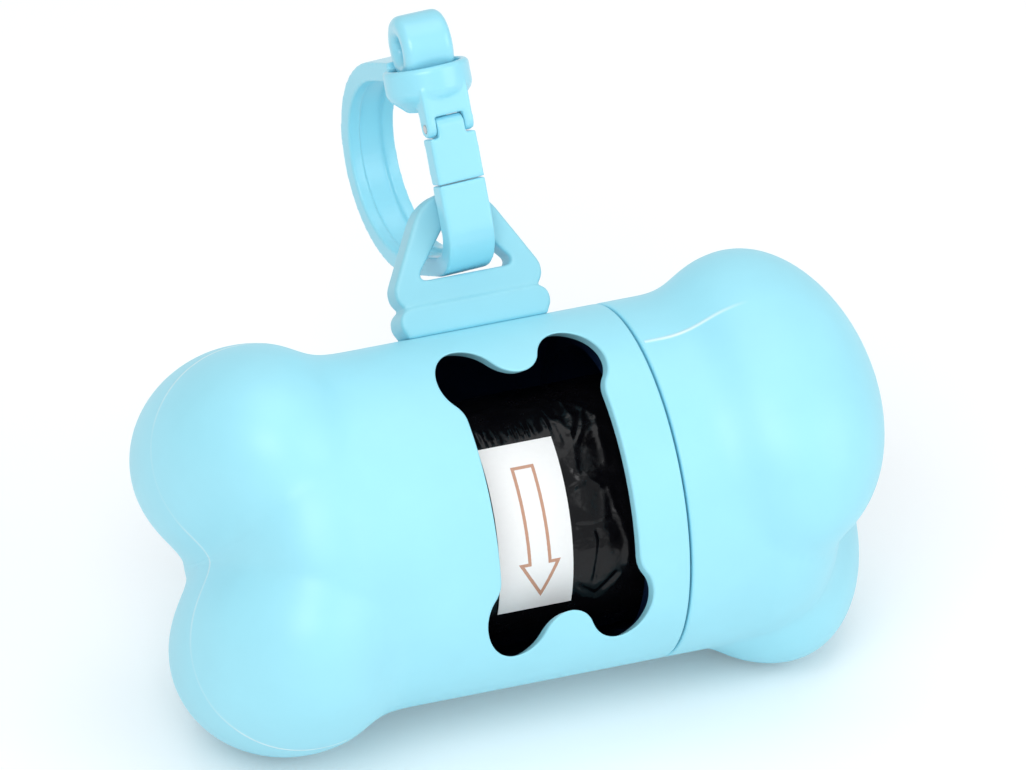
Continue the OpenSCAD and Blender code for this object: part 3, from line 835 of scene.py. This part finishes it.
# Creases of the outermost bag: height and half width in mm, then points as (x, arc) in mm from the
# roll's middle and its front line. A negative height is a furrow.
CREASES = [
    (0.30, 0.45, [(3.9, 13.2), (7.3, 11.1), (8.4, 9.2)]),
    (0.35, 0.50, [(4.2, 9.3), (4.8, 6.7), (4.2, 3.2)]),
    (0.22, 0.25, [(7.4, 10.7), (6.5, 8.0), (5.2, 5.9)]),
    (0.30, 0.45, [(8.3, 9.0), (7.9, 6.1), (7.7, 3.5)]),
    (0.30, 0.30, [(2.4, 0.9), (5.2, 1.9), (6.4, 1.0)]),
    (0.25, 0.50, [(6.8, 0.2), (6.3, -2.4)]),
    (-0.30, 0.22, [(5.3, -3.8), (5.5, -4.7), (4.7, -9.4)]),
    (-0.35, 0.30, [(7.2, -9.1), (4.9, -11.5), (2.6, -9.6)]),
    (0.30, 0.40, [(7.9, -2.4), (8.6, -5.5), (8.4, -8.0)]),
    (-0.20, 0.25, [(2.6, -2.8), (5.0, -3.1), (7.2, -2.6)]),
    (0.22, 0.40, [(-6.0, 12.5), (-1.0, 13.5), (2.5, 12.0)]),
    (0.45, 0.55, [(2.9, 12.6), (3.4, 9.6), (3.3, 6.6)]),
    (0.40, 0.50, [(5.4, 12.4), (5.9, 9.4), (5.0, 7.4)]),
    (-0.35, 0.45, [(4.6, 12.8), (4.5, 10.4)]),
    (0.45, 0.28, [(4.4, 2.3), (6.4, 2.1)]),
    (0.35, 0.35, [(7.4, 0.4), (7.6, -2.2)]),
]


def crease_height(x, arc):
    """Height of the listed creases at a place on the film, in mm."""
    here = Vector((x, arc))
    total = 0.0
    for height, half_width, points in CREASES:
        away = half_width * 4
        for a, b in zip(points, points[1:]):
            start, along = Vector(a), Vector(b) - Vector(a)
            share = min(1.0, max(0.0, (here - start).dot(along) / along.length_squared))
            away = min(away, (here - start - share * along).length)
        if away < half_width * 3:
            total += height * math.exp(-(away / half_width) ** 2)
    return total


def soft_folds(x, t):
    """Height of the loose film's shallow folds, from about -1 to 1, at x in mm and t round the roll."""
    p = Vector((x * 0.10, 2.0 * math.cos(t), 2.0 * math.sin(t)))
    warp = noise.noise(p * 0.8 + Vector((7, 1, 3)))
    ridge = 1 - abs(noise.noise(p + Vector((warp, warp, 2.5)))) * 3.0
    return 0.5 * max(-0.4, ridge) + 0.5 * noise.noise(Vector((x * 0.3, 1.6 * math.cos(t), 1.6 * math.sin(t))))


FILM_T = 0.12 * MM
PAPER_T = 0.1 * MM
PAPER_LIFT = 0.11 * MM
CREASED_ARC = 16
CREASED_X = 12 * MM
PLEAT_TOP = 3.2
PRESS_REACH = 1.2 * MM


def lying():
    """From the roll's own frame to its place at rest."""
    return Matrix.Translation((0, ROLL_AXIS.y, ROLL_AXIS.z)) @ Matrix.Rotation(-sizes().stand_roll, 4, "X")


class DISPENSER_OT_film(Operator):
    """Make the creased outermost bag of the roll"""
    bl_idname = "dispenser.film"
    bl_label = "Outermost bag"

    def execute(self, context):
        s = sizes()
        label_x0, label_x1 = s.label_left, s.label_left + s.label_w

        def place(u, v):
            t = 2 * math.pi * u
            x = (v - 0.5) * s.roll_len
            arc = (t if t < math.pi else t - 2 * math.pi) * s.roll_r / MM
            listed = crease_height(x / MM, arc) if abs(arc) < CREASED_ARC and abs(x) < CREASED_X else 0.0
            off = abs((t - s.label_mid + math.pi) % (2 * math.pi) - math.pi) - s.label_arc / 2
            side = max(label_x0 - x, x - label_x1, 0) / PRESS_REACH
            end = max(off, 0) * s.roll_r / PRESS_REACH
            free = min(1, math.hypot(side, end))
            above = (t - s.label_mid - s.label_arc / 2) * s.roll_r / MM
            pleat = 0.0
            if -0.2 < above < PLEAT_TOP and label_x0 - 1 * MM < x < label_x1 + 0.5 * MM:
                ripple = math.sin(x / MM * 6.5 + 2 * math.sin(x / MM * 1.7))
                pleat = 0.35 * ripple * math.sin(math.pi * (above + 0.2) / (PLEAT_TOP + 0.2))
            loose = s.crease * (0.6 * soft_folds(x / MM, t) + pleat) + 0.5 * listed * MM
            r = s.roll_r - FILM_T + free * loose
            return Vector((x, -r * math.cos(t), r * math.sin(t)))

        obj = shaped_grid("outer_film", 420, 300, place)
        apply_modifier(obj, "SOLIDIFY", thickness=FILM_T, offset=-1)
        put(obj, lying())
        smooth(obj, 50)
        finish_piece(obj, film_material(), "roll", "bag_film", "outer_bag")
        return {"FINISHED"}


class DISPENSER_OT_label(Operator):
    """Make the paper label with its arrow"""
    bl_idname = "dispenser.label"
    bl_label = "Label"

    def execute(self, context):
        s = sizes()

        def place(u, v):
            t = s.label_mid + (v - 0.5) * s.label_arc
            r = s.roll_r + PAPER_LIFT
            slide = s.label_skew * r * (v - 0.5) * s.label_arc
            return Vector((s.label_left + u * s.label_w + slide, -r * math.cos(t), r * math.sin(t)))

        obj = shaped_grid("paper_label", 20, 60, place)
        layer = obj.data.uv_layers[0] if obj.data.uv_layers else obj.data.uv_layers.new()
        layer.name = "label_mm"
        arc = s.label_arc * s.roll_r / MM
        for loop in obj.data.loops:
            p = obj.data.vertices[loop.vertex_index].co
            t = math.atan2(p.z, -p.y)
            along = (t - s.label_mid) * s.roll_r / MM + arc / 2
            layer.data[loop.index].uv = ((p.x - s.label_left) / MM / LABEL_U, along / LABEL_V)
        apply_modifier(obj, "SOLIDIFY", thickness=PAPER_T, offset=-1)
        put(obj, lying())
        smooth(obj, 40)
        finish_piece(obj, paper_material(), "roll", "label_paper", "roll_label")
        return {"FINISHED"}


class DISPENSER_OT_clip(Operator):
    """Make the snap clip: hook, gate, pin and spring"""
    bl_idname = "dispenser.clip"
    bl_label = "Snap clip"

    def execute(self, context):
        hook = moulded_copy("clip_hook", "hook_skin", grain=0.11 * MM, passes=22, swell=0.03 * MM)
        finish_piece(hook, clip_material(), "clip", "clip_plastic", "clip_hook")
        gate = moulded_copy("clip_gate", "gate_skin", grain=0.11 * MM, passes=16, swell=0.02 * MM)
        finish_piece(gate, clip_material(), "gate", "clip_plastic", "clip_gate")
        dress("gate_pin", steel_material())
        dress("gate_spring", steel_material())
        return {"FINISHED"}


class DISPENSER_OT_swivel(Operator):
    """Make the swivel with its eye"""
    bl_idname = "dispenser.swivel"
    bl_label = "Swivel eye"

    def execute(self, context):
        obj = moulded_copy("swivel_eye", "eye_skin", grain=0.11 * MM, passes=45, swell=0.12 * MM)
        finish_piece(obj, clip_material(), "swivel", "clip_plastic", "swivel_eye")
        return {"FINISHED"}


# ---- Operator: stage ----

LAMPS = (
    # Name, place, size and power
    ("key", (-0.30, -0.50, 0.60), 0.45, 2.4),
    ("fill", (0.50, -0.45, 0.35), 0.45, 1.1),
    ("top", (0.05, 0.10, 0.80), 0.60, 1.25),
)
LAMPS_AIM = Vector((0, 0, 25 * MM))
ROOM_LIGHT = 0.59
ROOM_TINT = (0.94, 0.97, 1.0, 1.0)
FLOOR_GLOW = 0.1
# The camera: its direction from the object, its picture's right and up, the point that it looks at, its
# distance and the width that its picture spans there
VIEW_FROM = Vector((-0.290, -0.797, 0.530)).normalized()
VIEW_RIGHT = Vector((0.940, -0.342, 0))
VIEW_UP = Vector((0.181, 0.498, 0.848))
VIEW_MIDDLE_X = 13.7 * MM
VIEW_SHIFT = (-12.55 * VIEW_RIGHT + 10.02 * VIEW_UP) * MM
VIEW_DISTANCE = 2.5
VIEW_WIDTH = 0.10834
SENSOR_W = 36


class DISPENSER_OT_stage(Operator):
    """Make the floor, lamps and camera"""
    bl_idname = "dispenser.stage"
    bl_label = "Stage"

    def execute(self, context):
        self.floor()
        self.world()
        for lamp in LAMPS:
            self.lamp(*lamp)
        self.camera()
        return {"FINISHED"}

    def floor(self):
        """Pale floor that glows a little to the camera and in reflections."""
        select_only()
        bpy.ops.mesh.primitive_plane_add(size=6, location=(0, 0, 0))
        obj = bpy.context.object
        obj.name = "floor"
        material, tree, shader, _ = new_material("floor_paint", tuple(colours().floor), 0.9)
        shader.inputs["Specular IOR Level"].default_value = 0.0
        path = tree.nodes.new("ShaderNodeLightPath")
        add = tree.nodes.new("ShaderNodeAddShader")
        glow = tree.nodes.new("ShaderNodeEmission")
        seen = math_node(tree, "MAXIMUM", path.outputs["Is Camera Ray"], path.outputs["Is Glossy Ray"])
        tree.links.new(math_node(tree, "MULTIPLY", seen, FLOOR_GLOW), glow.inputs["Strength"])
        tree.links.new(shader.outputs[0], add.inputs[0])
        tree.links.new(glow.outputs[0], add.inputs[1])
        tree.links.new(add.outputs[0], tree.nodes["Material Output"].inputs["Surface"])
        obj.data.materials.append(material)

    def world(self):
        """Light of a bright room, with a white backdrop for the camera."""
        world = bpy.data.worlds.new("room")
        bpy.context.scene.world = world
        world.use_nodes = True
        tree = world.node_tree
        light = tree.nodes["Background"]
        light.inputs["Color"].default_value = ROOM_TINT
        light.inputs["Strength"].default_value = ROOM_LIGHT
        seen = tree.nodes.new("ShaderNodeBackground")
        seen.inputs["Color"].default_value = (1, 1, 1, 1)
        mix = tree.nodes.new("ShaderNodeMixShader")
        path = tree.nodes.new("ShaderNodeLightPath")
        tree.links.new(path.outputs["Is Camera Ray"], mix.inputs[0])
        tree.links.new(light.outputs[0], mix.inputs[1])
        tree.links.new(seen.outputs[0], mix.inputs[2])
        tree.links.new(mix.outputs[0], tree.nodes["World Output"].inputs["Surface"])

    def lamp(self, name, place, size, power):
        """Square lamp that faces the dispenser."""
        select_only()
        bpy.ops.object.light_add(type="AREA", location=place)
        lamp = bpy.context.object
        lamp.name = name
        lamp.data.size = size
        lamp.data.energy = power
        aim = LAMPS_AIM - Vector(place)
        lamp.rotation_euler = aim.to_track_quat("-Z", "Y").to_euler()

    def camera(self):
        """Camera with a long lens, and plain colours in its picture."""
        target = TUBE_AXIS.copy()
        target.x = VIEW_MIDDLE_X
        target += VIEW_SHIFT
        select_only()
        bpy.ops.object.camera_add(location=target + VIEW_DISTANCE * VIEW_FROM)
        camera = bpy.context.object
        camera.rotation_euler = VIEW_FROM.to_track_quat("Z", "Y").to_euler()
        camera.data.sensor_fit = "HORIZONTAL"
        camera.data.sensor_width = SENSOR_W
        camera.data.lens = SENSOR_W * VIEW_DISTANCE / VIEW_WIDTH
        camera.data.clip_start = 0.01
        bpy.context.scene.camera = camera
        bpy.context.scene.view_settings.view_transform = "Standard"


class DISPENSER_PT_panel(Panel):
    """Lists the dispenser's makers"""
    bl_label = "Bag dispenser"
    bl_idname = "DISPENSER_PT_panel"
    bl_space_type = "VIEW_3D"
    bl_region_type = "UI"
    bl_category = "Dispenser"

    def draw(self, context):
        for maker in MAKERS:
            self.layout.operator(maker.bl_idname)
        for group in (context.scene.dispenser_sizes, context.scene.dispenser_colours):
            box = self.layout.box()
            for name in group.bl_rna.properties.keys():
                if name not in {"rna_type", "name"}:
                    box.prop(group, name)


MAKERS = (
    DISPENSER_OT_body, DISPENSER_OT_cap, DISPENSER_OT_strap_loop, DISPENSER_OT_inner_parts,
    DISPENSER_OT_film, DISPENSER_OT_label, DISPENSER_OT_clip, DISPENSER_OT_swivel, DISPENSER_OT_stage)
CLASSES = (DispenserSizes, DispenserColours, *MAKERS, DISPENSER_PT_panel)


def register():
    """Registers the classes and puts the sizes and colours on the scene."""
    for cls in CLASSES:
        bpy.utils.register_class(cls)
    bpy.types.Scene.dispenser_sizes = PointerProperty(type=DispenserSizes)
    bpy.types.Scene.dispenser_colours = PointerProperty(type=DispenserColours)


def unregister():
    """Takes the sizes and colours off the scene and unregisters the classes."""
    del bpy.types.Scene.dispenser_colours
    del bpy.types.Scene.dispenser_sizes
    for cls in reversed(CLASSES):
        bpy.utils.unregister_class(cls)


def main():
    register()
    for maker in MAKERS:
        group, name = maker.bl_idname.split(".")
        getattr(getattr(bpy.ops, group), name)()


if __name__ == "__main__":
    main()
